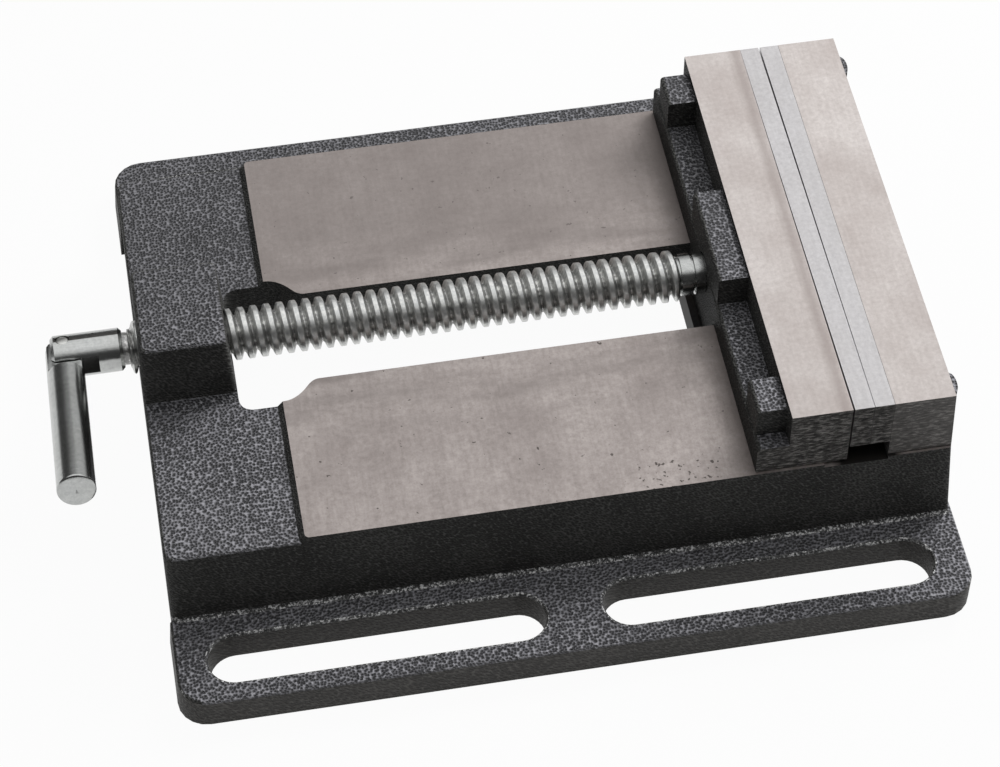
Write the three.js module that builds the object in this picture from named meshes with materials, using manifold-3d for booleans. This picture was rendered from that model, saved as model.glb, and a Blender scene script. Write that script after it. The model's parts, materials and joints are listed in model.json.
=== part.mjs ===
// A drill press vise with 150 mm jaws, closed, with its folding handle turned to the front.
//
// Millimetres, +Z up. X runs along the screw from the handle to the fixed jaw and Y runs across
// the jaws, with -Y at the front. The base stands on z = 0. Each piece is worked out with x = 0 at
// the handle end of the base's body, and the whole vise is then centred on the origin.

import * as THREE from "three";
import { mergeVertices } from "three/addons/utils/BufferGeometryUtils.js";
import Module from "manifold-3d";

const wasm = await Module();
wasm.setup();

// Fits and roundness
const runningGap = 0.3; // between pieces that slide or turn on each other, each side
const seatGap = 0.2; // between pieces that are screwed or pressed together
const overrun = 3; // how far a cut runs past the face where it leaves the piece
const roundSteps = 5; // straight steps in a quarter of a cast corner
const boreSegments = 20; // sides of a drilled hole, a pin or a screw

// Base body
const bodyLength = 235.6; // from the handle end's top edge to the back at the flanges
const bodyTopWidth = 151.6; // at the plateau
const sideDraft = 0.095; // how far a long cast side leans out for each millimetre down
const frontDraft = 0.02; // the same for the handle end
const endDraft = 0.052; // the same for the back
const bodyCornerRadius = 3;
const wayCornerRadius = 1.4; // the same on the longer part under the ways
const plateauHeight = 37.1; // painted top at the handle end
const plateauLength = 39;
const plateauEdgeRadius = 0.9;
const wayHeight = 39.2; // machined top that the moving jaw slides on
const wayRamp = 1.7; // length of the cast slope from the plateau up to the ways
const bodyFillet = 1.6; // where the body's long sides meet the flanges
const castLine = 0.15; // step left where two drafted faces of the casting meet

// Base flanges and their clamping slots
const flangeReach = 30.7; // out from the foot of the body's side
const flangeThickness = 10.7;
const flangeFrontOverhang = 1.3; // at the handle end, from the plane the lengths start from
const plateauOverhang = 0.4; // the same for the edge of the plateau
const flangeBackOverhang = 1.1; // past the body's back
const flangeEndDraft = 0.085; // of the flanges' ends at the handle
const flangeCornerRadius = 9;
const flangeEdgeRadius = 0.9;
const clampSlotWidth = 16.3;
const clampSlotLength = 100.5;
const clampSlotInset = 9.4; // from the flange's end to its first slot
const clampSlotPitch = 117.9;
const nearSlotMargin = 6.45; // from the slots to the near flange's outer edge
const farSlotMargin = 8.6;

// Screw boss on the base
const bossStart = -1.07; // where the draft of its end would reach the plateau
const bossFace = 0.1; // its milled end face, just behind the edge of the body
const bossEnd = 27.8;
const bossTopWidth = 32.6;
const bossHeight = 60.9; // from the table to its top
const bossDraft = 0.07;
const bossFillet = 2.4; // where it rises from the plateau
const bossEdgeRadius = 1.2;
const bossCornerRadius = 1.6;

// Opening between the ways
const waySlotWidth = 34.3;
const waySlotEnd = 204.6;
const waySlotCorner = 3;
const reliefWidth = 48.4; // the wider part behind the screw boss
const reliefCorner = 5;
const reliefLength = 8.2; // of its straight sides
const reliefTaper = 11.7; // length of the curve back to the way slot
const reliefBendShares = [0.355, 0.675, 0.826]; // where the curve hangs, turns over and ends, along it
const reliefTurnShare = 0.68; // of the narrowing, done where the curve turns over

// Underside of the base, hollow as cast
const wayThickness = 16;
const keeperChannelWidth = 68;
const keeperChannelStart = 25;
const keeperChannelEnd = 208;
const longRibThickness = 6;
const sideWallThickness = 9;
const pocketStart = 12;
const pocketEnd = 224;
const pocketCount = 3;
const crossRibThickness = 6;

// Fixed jaw, cast in one with the base
const jawWidth = 150;
const jawHeight = 62.8; // from the table to the machined top of both jaws
const fixedJawThickness = 18.24; // at the top
const reliefGrooveWidth = 19.4; // in the ways, in front of the fixed jaw
const reliefGrooveDepth = 1;
const padWidth = 8.4; // of the two cast pads on the fixed jaw's back
const padHeight = 9;
const padSpread = 133.4;
const padReach = 2.8; // past the top edge of the jaw's back
const padDrop = 4.2; // from the jaw's top

// Jaw plates and the screws that hold them
const plateThickness = 5.9;
const plateBottom = 45.4;
const plateScrewSpread = 92;
const plateScrewRadius = 3;
const plateScrewLength = 17;
const screwHeadRadius = 5.7;
const screwHeadDepth = 2.9;
const screwHeadSink = 0.3; // below the face of the plate
const socketRadius = 2.3; // across the corners of the hexagon
const socketDepth = 2.2;
const drillRunOut = 2; // a blind hole goes this far past the screw or the pin in it

// Moving jaw casting
const movingJawThickness = 18.1;
const ledgeDepth = 9.5; // from the machined part back to the foot's rear face
const ledgeHeight = 50;
const castRound = 1.4;
const ribHeight = 60.5;
const ribWidth = 12.5;
const ribSpread = 126.5;
const ribDepth = 8.9;
const blockHeight = 60.9; // the block that the screw turns in
const blockWidth = 36.6;
const blockDepth = 9.2;
const guideLength = 25.4; // of the guide that runs between the ways

// Screw: trapezoidal thread, 16 mm by 4 mm
const screwHeight = 44.6; // of its axis
const threadDiameter = 16;
const threadRootDiameter = 11.5;
const threadPitch = 4;
const threadRootShares = [0, 0.2]; // the flat at the root, in pitches along the thread
const threadCrestShares = [0.42, 0.78]; // the flat at the crest
const threadSegments = 12;
const threadStart = -2.8;
const shankLength = 7.6; // bare steel between the thread and the moving jaw
const shankGroovePlace = 3.6; // from the moving jaw to the middle of the shank's groove
const shankGrooveWidth = 0.8;
const shankGrooveDepth = 0.7;
const journalRadius = 6.1;
const journalLength = 21.6; // inside the moving jaw
const journalChamfer = 1;
const grooveRadius = 4.4;
const grooveFromEnd = 5; // from the journal's end to the middle of the groove

// Fork on the screw's outer end
const forkRadius = 6.6;
const forkLength = 21.5;
const forkChamfer = 1;
const forkNeckLength = 1.7;
const forkNeckRadius = 5;
const forkSlotWidth = 6;
const forkSlotDepth = 14;
const pinFromForkEnd = 3.75;
const handlePinRadius = 2;
const handlePinInset = 0.25; // each end lies this far inside the fork's round

// Handle
const handleTilt = THREE.MathUtils.degToRad(12); // the rod's rise above level
const rodRadius = 5.7;
const rodLength = 63; // from the pin's middle to the free end
const rodChamfer = 0.8;
const centreMarkRadius = 1.1;
const tongueThickness = 5.4;
const shoulderDistance = 8.8; // from the pin's middle to where the rod's round part begins
const shoulderChamfer = 1.2;

// Keeper plate under the ways
const keeperThickness = 10;
const keeperLength = 32;
const keeperWidth = 60;
const keeperReach = 2.4; // past the foot, towards the handle
const keeperCorner = 3;
const keeperBoltRadius = 4;
const keeperBoltSpread = 18;
const keeperBoltFromFoot = 7.4;
const keeperBoltGrip = 12; // length of thread in the moving jaw
const boltHeadFlats = 13;
const boltHeadHeight = 5;
const washerRadius = 8;
const washerThickness = 1.6;
const lockWasherRadius = 6.6;
const lockWasherThickness = 2;
const lockWasherSplit = 1;
const retainingPinRadius = 2;
const retainingPinTop = 51;

// Where the drafted faces of the body are at a height
const bodyFront = (z) => (z - plateauHeight) * frontDraft - plateauOverhang;
const bodyBack = (z) => bodyLength - (z - flangeThickness) * endDraft;
const bodySide = (z) => bodyTopWidth / 2 + (plateauHeight - z) * sideDraft;
const flangeWidth = 2 * (bodySide(flangeThickness) + flangeReach);
const slotRows = [nearSlotMargin, farSlotMargin].map((margin, i) =>
  (2 * i - 1) * (flangeWidth / 2 - margin - clampSlotWidth / 2));

// Places along the screw, worked out from the sizes above
const fixedJawBack = bodyBack(jawHeight);
const fixedJawFace = fixedJawBack - fixedJawThickness;
const movingJawFace = fixedJawFace - 2 * (seatGap + plateThickness) - runningGap;
const movingJawRear = movingJawFace - movingJawThickness;
const footRear = movingJawRear - ledgeDepth;
const blockRear = movingJawRear - blockDepth;
const threadEnd = footRear - shankLength;
const journalEnd = blockRear + journalLength;
const retainingPinX = journalEnd - grooveFromEnd;
const forkEnd = threadStart - forkNeckLength - forkLength;
const handlePinX = forkEnd + pinFromForkEnd;
const flangeFront = -flangeFrontOverhang;
const flangeBack = bodyLength + flangeBackOverhang;
const wayUnderside = wayHeight - wayThickness;
const guideBottom = wayUnderside - runningGap;
const keeperTop = guideBottom - seatGap;
const footBottom = wayHeight + runningGap;
const boltTop = guideBottom + keeperBoltGrip;
const boltX = footRear + keeperBoltFromFoot;
const viseBack = Math.max(flangeBack, fixedJawBack + padReach);
const viseMiddle = (handlePinX - rodRadius + viseBack) / 2;
const plateScrewHeight = (jawHeight + plateBottom) / 2;
const sides = { near: -1, far: 1 };

// Materials
const paint = new THREE.MeshStandardMaterial({ color: 0x45464a, roughness: 0.45, metalness: 0.3 });
const groundSteel = new THREE.MeshStandardMaterial({ color: 0xc9c6c6, roughness: 0.4, metalness: 0.9 });
const zinc = new THREE.MeshStandardMaterial({ color: 0xb9bbb9, roughness: 0.3, metalness: 1 });
const blackSteel = new THREE.MeshStandardMaterial({ color: 0x2b2b2d, roughness: 0.5, metalness: 0.8 });

// Turns a closed three.js geometry into a solid. Corners that coincide are joined, and the empty
// triangles that a turned profile has on its axis are left out.
function solid(geometry) {
  const bare = geometry.clone();
  for (const attribute of ["normal", "uv"]) bare.deleteAttribute(attribute);
  const merged = mergeVertices(bare);
  const corners = [];
  for (let i = 0; i < merged.index.count; i += 3) {
    const [a, b, c] = [0, 1, 2].map((k) => merged.index.getX(i + k));
    if (a !== b && b !== c && c !== a) corners.push(a, b, c);
  }
  const vertProperties = new Float32Array(merged.attributes.position.array);
  return new wasm.Manifold(new wasm.Mesh({ numProp: 3, vertProperties, triVerts: new Uint32Array(corners) }));
}

// A named mesh of a solid.
function piece(name, body, material) {
  const { vertProperties, triVerts } = body.getMesh();
  const geometry = new THREE.BufferGeometry();
  geometry.setAttribute("position", new THREE.BufferAttribute(vertProperties, 3));
  geometry.setIndex(new THREE.BufferAttribute(triVerts, 1));
  const mesh = new THREE.Mesh(geometry, material);
  mesh.name = name;
  return mesh;
}

// A box between two corners.
function block([x0, y0, z0], [x1, y1, z1]) {
  const geometry = new THREE.BoxGeometry(x1 - x0, y1 - y0, z1 - z0);
  return solid(geometry.translate((x0 + x1) / 2, (y0 + y1) / 2, (z0 + z1) / 2));
}

// A plan outline in X and Y, raised from one height to another.
function raised(outline, bottom, top) {
  const geometry = new THREE.ExtrudeGeometry(outline, { depth: top - bottom, bevelEnabled: false, curveSegments: 8 });
  return solid(geometry.translate(0, 0, bottom));
}

// A side outline in X and Z, carried across the vise from one Y to another.
function carriedAcross(outline, from, to) {
  const geometry = new THREE.ExtrudeGeometry(outline, { depth: to - from, bevelEnabled: false, curveSegments: 6 });
  return solid(geometry.rotateX(Math.PI / 2).translate(0, to, 0));
}

// A profile of [place along the axis, radius] points, turned about the Z axis.
function turned(profile, segments = boreSegments) {
  const points = profile.map(([along, radius]) => new THREE.Vector2(radius, along));
  return new THREE.LatheGeometry(points, segments).rotateX(Math.PI / 2);
}

const aboutZ = (profile, segments) => solid(turned(profile, segments));
const aboutX = (profile, segments) => solid(turned(profile, segments).rotateY(Math.PI / 2));
const aboutY = (profile, segments) => solid(turned(profile, segments).rotateX(-Math.PI / 2));
const rod = (from, to, radius) => [[from, 0], [from, radius], [to, radius], [to, 0]];

function moved(body, x, y, z) {
  return body.translate([x, y, z]);
}

// One level of a drafted casting: a rectangle in plan with round corners.
function ring(x0, x1, halfWidth, radius, z) {
  const centres = [[x1 - radius, halfWidth - radius], [x0 + radius, halfWidth - radius],
    [x0 + radius, radius - halfWidth], [x1 - radius, radius - halfWidth]];
  return centres.flatMap(([x, y], quarter) => Array.from({ length: roundSteps + 1 }, (_, step) => {
    const angle = (quarter + step / roundSteps) * Math.PI / 2;
    return new THREE.Vector3(x + radius * Math.cos(angle), y + radius * Math.sin(angle), z);
  }));
}

// Skins a stack of rings, from the lowest to the highest, and closes its two ends.
function stacked(rings) {
  const count = rings[0].length;
  const index = [];
  for (let level = 0; level + 1 < rings.length; level++) {
    for (let i = 0; i < count; i++) {
      const a = level * count + i;
      const b = level * count + (i + 1) % count;
      index.push(a, b, b + count, a, b + count, a + count);
    }
  }
  const top = (rings.length - 1) * count;
  for (let i = 1; i + 1 < count; i++) index.push(0, i + 1, i, top, top + i, top + i + 1);
  const geometry = new THREE.BufferGeometry().setFromPoints(rings.flat());
  geometry.setIndex(index);
  return solid(geometry);
}

// Heights and insets of a cast block's rings: a fillet at its foot and a round at its top edge.
function castLevels(floor, top, fillet, edge) {
  const quarter = Array.from({ length: roundSteps + 1 }, (_, step) => step / roundSteps * Math.PI / 2);
  const foot = quarter.map((a) => [floor + fillet * (1 - Math.cos(a)), fillet * (Math.sin(a) - 1)]);
  const brow = quarter.map((a) => [top - edge * (1 - Math.sin(a)), edge * (1 - Math.cos(a))]);
  return [...foot, ...brow];
}

// Base casting

function flangePlate() {
  const levels = castLevels(0, flangeThickness, 0, flangeEdgeRadius).slice(roundSteps);
  const plate = stacked(levels.map(([z, inset]) => {
    const front = flangeFront - (flangeThickness - z) * flangeEndDraft + inset;
    return ring(front, flangeBack - inset, flangeWidth / 2 - inset, flangeCornerRadius - inset, z);
  }));
  const inner = bodySide(flangeThickness);
  const bodyEnd = block([flangeFront - overrun, -inner, -overrun],
    [2 * bodyCornerRadius, inner, flangeThickness + overrun]);
  return [bodyEnd, ...clampSlots()].reduce((body, cut) => body.subtract(cut), plate);
}

function clampSlots() {
  const radius = clampSlotWidth / 2;
  return slotRows.flatMap((y) => [0, 1].map((place) => {
    const start = flangeFront + clampSlotInset + place * clampSlotPitch;
    const outline = new THREE.Shape();
    outline.absarc(start + clampSlotLength - radius, y, radius, -Math.PI / 2, Math.PI / 2);
    outline.absarc(start + radius, y, radius, Math.PI / 2, 3 * Math.PI / 2);
    return raised(outline, -overrun, flangeThickness + overrun);
  }));
}

// The body under the painted plateau, and the longer part under the machined ways. At the handle
// end the body reaches down between the flanges' ends, which stand just clear of it.
function baseBody() {
  const levels = [[0, -bodyFillet],
    ...castLevels(flangeThickness, plateauHeight, bodyFillet, plateauEdgeRadius)];
  const plateauEnd = plateauLength + 3 * bodyCornerRadius;
  const plateau = stacked(levels.map(([z, inset]) =>
    ring(bodyFront(z) + Math.max(inset, 0), plateauEnd, bodySide(z) - inset, bodyCornerRadius, z)));
  const foot = levels.slice(0, roundSteps + 2);
  const ways = [...foot, [plateauHeight, 0], [wayHeight, 0]].map(([z, inset]) =>
    ring(plateauLength + Math.max(z - plateauHeight, 0) / (wayHeight - plateauHeight) * wayRamp,
      bodyBack(z), bodySide(z) - inset + castLine, wayCornerRadius, z));
  return plateau.add(stacked(ways));
}

function screwBoss() {
  const levels = castLevels(plateauHeight, bossHeight, bossFillet, bossEdgeRadius);
  levels.unshift([flangeThickness / 2, -bossFillet]);
  const boss = stacked(levels.map(([z, inset]) => {
    const lean = (bossHeight - Math.max(z, plateauHeight)) * bossDraft - inset;
    const full = (bossHeight - plateauHeight) * bossDraft;
    return ring(bossStart + full - lean, bossEnd - full + lean, bossTopWidth / 2 + lean, bossCornerRadius, z);
  }));
  return boss.intersect(block([bossFace, -bodyTopWidth / 2, 0],
    [bossEnd + overrun, bodyTopWidth / 2, bossHeight + overrun]));
}

// The opening between the ways, wider behind the screw boss.
function waySlot() {
  const half = waySlotWidth / 2;
  const wide = reliefWidth / 2;
  const taperStart = bossEnd + reliefCorner + reliefLength;
  const [hang, turn, last] = reliefBendShares.map((share) => taperStart + share * reliefTaper);
  const side = new THREE.Path();
  side.moveTo(bossEnd, 0);
  side.lineTo(bossEnd, wide - reliefCorner);
  side.quadraticCurveTo(bossEnd, wide, bossEnd + reliefCorner, wide);
  side.lineTo(taperStart, wide);
  side.quadraticCurveTo(hang, wide, turn, wide - reliefTurnShare * (wide - half));
  side.quadraticCurveTo(last, half, taperStart + reliefTaper, half);
  side.lineTo(waySlotEnd - waySlotCorner, half);
  side.quadraticCurveTo(waySlotEnd, half, waySlotEnd, half - waySlotCorner);
  side.lineTo(waySlotEnd, 0);
  const far = side.getPoints(7);
  const near = far.slice(1, -1).reverse().map((p) => new THREE.Vector2(p.x, -p.y));
  return raised(new THREE.Shape([...far, ...near]), -2 * overrun, bossHeight + overrun);
}

// The channel that the keeper plate runs in, and the pockets under the ways on both sides of it.
function undersideHollows() {
  const hollows = [block([keeperChannelStart, -keeperChannelWidth / 2, -overrun],
    [keeperChannelEnd, keeperChannelWidth / 2, wayUnderside])];
  const inner = keeperChannelWidth / 2 + longRibThickness;
  const outer = bodyTopWidth / 2 - sideWallThickness;
  const pocketLength = (pocketEnd - pocketStart - (pocketCount - 1) * crossRibThickness) / pocketCount;
  for (const side of Object.values(sides)) {
    for (let i = 0; i < pocketCount; i++) {
      const start = pocketStart + i * (pocketLength + crossRibThickness);
      const [y0, y1] = [side * inner, side * outer].sort((a, b) => a - b);
      hollows.push(block([start, y0, -overrun], [start + pocketLength, y1, wayUnderside]));
    }
  }
  return hollows;
}

function fixedJaw() {
  const buried = wayHeight - reliefGrooveDepth - overrun;
  const outline = new THREE.Shape();
  outline.moveTo(fixedJawFace - overrun, buried);
  outline.lineTo(bodyBack(buried) - castLine, buried);
  outline.lineTo(fixedJawBack, jawHeight);
  outline.lineTo(fixedJawFace - overrun, jawHeight);
  return carriedAcross(outline, -jawWidth / 2, jawWidth / 2);
}

// The two ribs that stiffen the fixed jaw's back.
function backPad(side) {
  const half = padWidth / 2;
  const reach = fixedJawBack + padReach;
  const outline = new THREE.Shape();
  outline.moveTo(fixedJawBack - padReach, -half);
  outline.lineTo(fixedJawBack, -half);
  outline.quadraticCurveTo(reach, -half, reach, 0);
  outline.quadraticCurveTo(reach, half, fixedJawBack, half);
  outline.lineTo(fixedJawBack - padReach, half);
  const top = jawHeight - padDrop;
  return moved(raised(outline, top - padHeight, top), 0, side * padSpread / 2, 0);
}

// Drilled holes for the two plate screws in a jaw, from its face to the given depth point.
function plateScrewHoles(body, face, direction) {
  const depth = plateScrewLength - plateThickness + drillRunOut;
  const ends = [face - direction * overrun, face + direction * depth].sort((a, b) => a - b);
  for (const side of Object.values(sides)) {
    const hole = aboutX(rod(...ends, plateScrewRadius + seatGap));
    body = body.subtract(moved(hole, 0, side * plateScrewSpread / 2, plateScrewHeight));
  }
  return body;
}

function baseCasting() {
  let body = flangePlate().add(baseBody()).add(screwBoss()).add(fixedJaw());
  for (const side of Object.values(sides)) body = body.add(backPad(side));
  for (const hollow of undersideHollows()) body = body.subtract(hollow);
  body = body.subtract(waySlot());
  body = body.subtract(block([fixedJawFace - reliefGrooveWidth, -bodyTopWidth, wayHeight - reliefGrooveDepth],
    [fixedJawFace, bodyTopWidth, jawHeight + overrun]));
  const bore = aboutX(rod(-overrun, bossEnd + overrun, threadDiameter / 2 + runningGap));
  return plateScrewHoles(body.subtract(moved(bore, 0, 0, screwHeight)), fixedJawFace, 1);
}

// Jaw plates

// One plate, drilled and countersunk for its two screws from the face that grips the work.
// Direction is +1 where that face looks towards the fixed jaw.
function jawPlate(gripFace, direction) {
  const back = gripFace - direction * plateThickness;
  const [x0, x1] = [gripFace, back].sort((a, b) => a - b);
  let body = block([x0, -jawWidth / 2, plateBottom], [x1, jawWidth / 2, jawHeight]);
  const wide = screwHeadRadius + seatGap;
  const narrow = plateScrewRadius + seatGap;
  const sink = screwHeadSink + screwHeadDepth;
  const profile = [[-plateThickness - overrun, 0], [-plateThickness - overrun, narrow], [-sink, narrow],
    [-screwHeadSink, wide], [overrun, wide], [overrun, 0]];
  for (const side of Object.values(sides)) {
    const hole = faced(aboutX(profile), direction, gripFace);
    body = body.subtract(moved(hole, 0, side * plateScrewSpread / 2, plateScrewHeight));
  }
  return body;
}

// Turns a solid that is laid out for a face towards +X to the given direction, and moves it to x.
function faced(body, direction, x) {
  return moved(direction > 0 ? body : body.rotate([0, 0, 180]), x, 0, 0);
}

// A countersunk screw with a hexagon socket, its head just below the plate's face.
function plateScrew(gripFace, direction, side) {
  const head = -screwHeadSink;
  const shoulder = head - screwHeadDepth;
  const end = -plateScrewLength;
  const tip = end + plateScrewRadius / 4;
  const profile = [[end, 0], [end, plateScrewRadius * 3 / 4], [tip, plateScrewRadius],
    [shoulder, plateScrewRadius], [head, screwHeadRadius], [head, 0]];
  const socket = aboutX(rod(head - socketDepth, head + overrun, socketRadius), 6);
  return moved(faced(aboutX(profile).subtract(socket), direction, gripFace), 0, side * plateScrewSpread / 2,
    plateScrewHeight);
}

// Moving jaw

// A side outline with a round top corner on its rear edge.
function castStep(rear, front, bottom, top) {
  const outline = new THREE.Shape();
  outline.moveTo(front, bottom);
  outline.lineTo(front, top);
  outline.lineTo(rear + castRound, top);
  outline.quadraticCurveTo(rear, top, rear, top - castRound);
  outline.lineTo(rear, bottom);
  return outline;
}

function movingJawCasting() {
  const half = jawWidth / 2;
  const floor = ledgeHeight - castRound;
  let body = carriedAcross(castStep(footRear, movingJawFace, footBottom, ledgeHeight), -half, half);
  body = body.add(block([movingJawRear, -half, floor], [movingJawFace, half, jawHeight]));
  const inside = movingJawRear + castRound;
  for (const side of Object.values(sides)) {
    const middle = side * ribSpread / 2;
    const rib = castStep(movingJawRear - ribDepth, inside, footBottom, ribHeight);
    body = body.add(carriedAcross(rib, middle - ribWidth / 2, middle + ribWidth / 2));
  }
  const blockOutline = castStep(blockRear, inside, footBottom, blockHeight);
  body = body.add(carriedAcross(blockOutline, -blockWidth / 2, blockWidth / 2));
  const guideHalf = waySlotWidth / 2 - runningGap;
  body = body.add(block([footRear, -guideHalf, guideBottom], [footRear + guideLength, guideHalf, floor]));

  const bore = aboutX(rod(footRear - overrun, journalEnd + runningGap, journalRadius + runningGap));
  body = body.subtract(moved(bore, 0, 0, screwHeight));
  for (const side of Object.values(sides)) {
    const boltHole = aboutZ(rod(guideBottom - overrun, boltTop + seatGap, keeperBoltRadius + seatGap));
    body = body.subtract(moved(boltHole, boltX, side * keeperBoltSpread / 2, 0));
    const pinHole = aboutZ(rod(guideBottom - overrun, retainingPinTop + seatGap, retainingPinRadius + seatGap));
    body = body.subtract(moved(pinHole, retainingPinX, side * retainingPinSpread() / 2, 0));
  }
  return plateScrewHoles(body, movingJawFace, -1);
}

// The two pins stand in the journal's groove, one on each side.
function retainingPinSpread() {
  return 2 * (grooveRadius + runningGap + retainingPinRadius);
}

function retainingPin(side) {
  const bottom = guideBottom + seatGap;
  return moved(aboutZ(rod(bottom, retainingPinTop, retainingPinRadius)), retainingPinX,
    side * retainingPinSpread() / 2, 0);
}

// Keeper plate and its fasteners

function keeperPlate() {
  const x0 = footRear - keeperReach;
  const half = keeperWidth / 2;
  const outline = new THREE.Shape(ring(x0, x0 + keeperLength, half, keeperCorner, 0)
    .map((p) => new THREE.Vector2(p.x, p.y)));
  let body = raised(outline, keeperTop - keeperThickness, keeperTop);
  for (const side of Object.values(sides)) {
    const hole = aboutZ(rod(keeperTop - keeperThickness - overrun, keeperTop + overrun,
      keeperBoltRadius + seatGap));
    body = body.subtract(moved(hole, boltX, side * keeperBoltSpread / 2, 0));
  }
  return body;
}

// From the keeper down: a flat washer, a split lock washer and the bolt's head.
const washerTop = keeperTop - keeperThickness - seatGap;
const lockWasherTop = washerTop - washerThickness - seatGap;
const boltHeadTop = lockWasherTop - lockWasherThickness - seatGap;

// A flat ring below the given height, on the axis of one keeper bolt.
function ringWasher(radius, thickness, top, side) {
  const hole = aboutZ(rod(top - thickness - overrun, top + overrun, keeperBoltRadius + seatGap));
  return moved(aboutZ(rod(top - thickness, top, radius)).subtract(hole), boltX, side * keeperBoltSpread / 2, 0);
}

function lockWasher(side) {
  const y = side * keeperBoltSpread / 2;
  const gap = block([boltX, y - lockWasherSplit / 2, lockWasherTop - lockWasherThickness - overrun],
    [boltX + washerRadius, y + lockWasherSplit / 2, lockWasherTop + overrun]);
  return ringWasher(lockWasherRadius, lockWasherThickness, lockWasherTop, side).subtract(gap);
}

function keeperBolt(side) {
  const corner = boltHeadFlats / Math.sqrt(3);
  const bottom = boltHeadTop - boltHeadHeight;
  const hexagon = aboutZ(rod(bottom, boltHeadTop, corner), 6);
  const bevel = corner - boltHeadFlats / 2;
  const dome = aboutZ([[bottom, 0], [bottom, boltHeadFlats / 2], [bottom + bevel, corner],
    [boltHeadTop, corner], [boltHeadTop, 0]], 4 * boreSegments / 2);
  const tip = boltTop - keeperBoltRadius / 4;
  const shank = aboutZ([[boltHeadTop - bevel, 0], [boltHeadTop - bevel, keeperBoltRadius],
    [tip, keeperBoltRadius], [boltTop, keeperBoltRadius * 3 / 4], [boltTop, 0]]);
  return moved(hexagon.intersect(dome).add(shank), boltX, side * keeperBoltSpread / 2, 0);
}

// Screw

// The thread as one helical skin. Each column runs along the screw at one angle, its profile
// shifted by that angle's part of the pitch, so the last column meets the first one pitch on.
function threadSkin(from, to) {
  const root = threadRootDiameter / 2;
  const crest = threadDiameter / 2;
  const profile = [...threadRootShares.map((share) => [share, root]),
    ...threadCrestShares.map((share) => [share, crest])];
  const turns = Math.ceil((to - from) / threadPitch) + 2;
  const perColumn = turns * profile.length;
  const points = [];
  for (let column = 0; column < threadSegments; column++) {
    const turn = column / threadSegments;
    const [sine, cosine] = [Math.sin(turn * 2 * Math.PI), Math.cos(turn * 2 * Math.PI)];
    for (let i = 0; i < perColumn; i++) {
      const [share, radius] = profile[i % profile.length];
      const x = from + (Math.floor(i / profile.length) - 1 + share + turn - 1) * threadPitch;
      points.push(new THREE.Vector3(x, radius * cosine, radius * sine));
    }
  }
  const index = [];
  const at = (column, i) => (column < threadSegments
    ? column * perColumn + i : i + profile.length);
  for (let column = 0; column < threadSegments; column++) {
    const last = column + 1 < threadSegments ? perColumn : perColumn - profile.length;
    for (let i = 0; i + 1 < last; i++) {
      const [a, b] = [at(column, i), at(column, i + 1)];
      const [c, d] = [at(column + 1, i), at(column + 1, i + 1)];
      index.push(a, c, d, a, d, b);
    }
  }
  const near = [];
  const far = [];
  for (let column = 0; column < threadSegments; column++) {
    near.push(at(column, 0));
    far.push(at(column, perColumn - 1));
  }
  for (let i = 0; i < profile.length; i++) {
    near.push(at(0, profile.length - i));
    far.push(at(threadSegments - 1, perColumn - 2 - i));
  }
  closeWithFan(points, index, near.reverse());
  closeWithFan(points, index, far);
  const geometry = new THREE.BufferGeometry().setFromPoints(points);
  geometry.setIndex(index);
  return solid(geometry).intersect(aboutX(rod(from, to, threadDiameter)));
}

// Closes an open edge of the thread with triangles from a point on the axis.
function closeWithFan(points, index, edge) {
  const hub = points.length;
  const x = edge.reduce((sum, i) => sum + points[i].x, 0) / edge.length;
  points.push(new THREE.Vector3(x, 0, 0));
  edge.forEach((a, i) => index.push(hub, a, edge[(i + 1) % edge.length]));
}

// The screw in one piece from the fork to the journal: fork, neck, thread, shank with its groove,
// and the journal with the groove that the retaining pins stand in.
function spindle() {
  const crest = threadDiameter / 2;
  const forkFront = forkEnd + forkLength;
  const groove = [retainingPinX - retainingPinRadius - runningGap, retainingPinX + retainingPinRadius + runningGap];
  const mark = footRear - shankGroovePlace;
  const fork = [[forkEnd, 0], [forkEnd, forkRadius - forkChamfer], [forkEnd + forkChamfer, forkRadius],
    [forkFront - forkChamfer, forkRadius], [forkFront, forkRadius - forkChamfer], [forkFront, forkNeckRadius],
    [threadStart, forkNeckRadius], [threadStart + crest, forkNeckRadius], [threadStart + crest, 0]];
  const tail = [[threadEnd - crest, 0], [threadEnd - crest, forkNeckRadius], [threadEnd, forkNeckRadius],
    [threadEnd, journalRadius],
    [mark - shankGrooveWidth / 2, journalRadius], [mark - shankGrooveWidth / 2, journalRadius - shankGrooveDepth],
    [mark + shankGrooveWidth / 2, journalRadius - shankGrooveDepth], [mark + shankGrooveWidth / 2, journalRadius],
    [groove[0], journalRadius], [groove[0], grooveRadius], [groove[1], grooveRadius], [groove[1], journalRadius],
    [journalEnd - journalChamfer, journalRadius], [journalEnd, journalRadius - journalChamfer], [journalEnd, 0]];
  const body = aboutX(fork).add(threadSkin(threadStart, threadEnd)).add(aboutX(tail));
  return onScrewAxis(body.subtract(forkCut()));
}

// The fork's slot and its pin hole, both square to the handle pin.
function forkCut() {
  const slot = block([forkEnd - overrun, -forkRadius - overrun, -forkSlotWidth / 2],
    [forkEnd + forkSlotDepth, forkRadius + overrun, forkSlotWidth / 2]);
  const hole = aboutZ(rod(-forkRadius - overrun, forkRadius + overrun, handlePinRadius + seatGap));
  return tilted(slot.add(moved(hole, handlePinX, 0, 0)));
}

// Tips a solid about the screw, so that its -Y side rises by the handle's tilt.
const tilted = (body) => body.rotate([-THREE.MathUtils.radToDeg(handleTilt), 0, 0]);
const onScrewAxis = (body) => moved(body, 0, 0, screwHeight);

function handlePin() {
  const end = forkRadius - handlePinInset;
  return onScrewAxis(moved(tilted(aboutZ(rod(-end, end, handlePinRadius))), handlePinX, 0, 0));
}

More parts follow.
